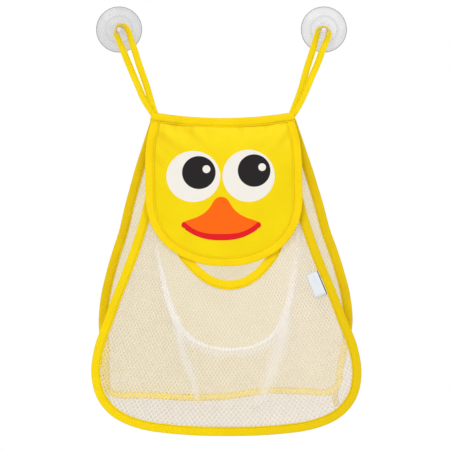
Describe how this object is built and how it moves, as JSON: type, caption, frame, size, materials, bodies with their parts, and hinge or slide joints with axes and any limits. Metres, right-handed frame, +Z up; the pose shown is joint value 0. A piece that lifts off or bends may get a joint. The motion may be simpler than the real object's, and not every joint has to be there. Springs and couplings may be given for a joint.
{
  "type": "bath toy organizer",
  "caption": "Hanging net bag for bath toys, with a folded gusset and a flap over its mouth, held to a tiled wall by tape loops on suction cups.",
  "frame": {"origin": "on the wall plane, midway between the centres of the two suction cups", "axes": "+Z up, +Y into the wall, +X to the right as seen from the front; the bag hangs in front of the wall on the -Y side"},
  "size_m": [0.293, 0.0439, 0.4663],
  "materials": {
    "cup_vinyl": "clear glossy",
    "loop_tape": "woven",
    "net": "knitted net",
    "binding_tape": "folded and stitched",
    "flap_cloth": "printed woven cloth",
    "label_cloth": "blank woven label"
  },
  "bodies": {
    "loops": {"left_hanging_loop": "loop_tape", "right_hanging_loop": "loop_tape"},
    "left_cup": {"left_suction_cup": "cup_vinyl"},
    "right_cup": {"right_suction_cup": "cup_vinyl"},
    "bag": {"back_net": "net", "front_net": "net", "gusset_net": "net", "back_binding": "binding_tape", "front_binding": "binding_tape", "mouth_binding": "binding_tape", "top_binding": "binding_tape", "side_label": "label_cloth"},
    "flap": {"flap_panel": "flap_cloth", "flap_binding": "binding_tape"}
  },
  "joints": [
    {"name": "left_cup_turn", "type": "hinge", "parent": "loops", "child": "left_cup", "pos_m": [-0.1113, -0.0111, 0], "axis": [0, 1, 0], "continuous": true},
    {"name": "right_cup_turn", "type": "hinge", "parent": "loops", "child": "right_cup", "pos_m": [0.1113, -0.0111, 0], "axis": [0, 1, 0], "continuous": true},
    {"name": "bag_swing", "type": "hinge", "parent": "loops", "child": "bag", "pos_m": [0.0015, -0.0084, -0.0892], "axis": [-1, 0, 0], "range_deg": [0, 45]},
    {"name": "flap_lift", "type": "hinge", "parent": "bag", "child": "flap", "pos_m": [0.0015, -0.0112, -0.0999], "axis": [-1, 0, 0], "range_deg": [0, 125]}
  ]
}
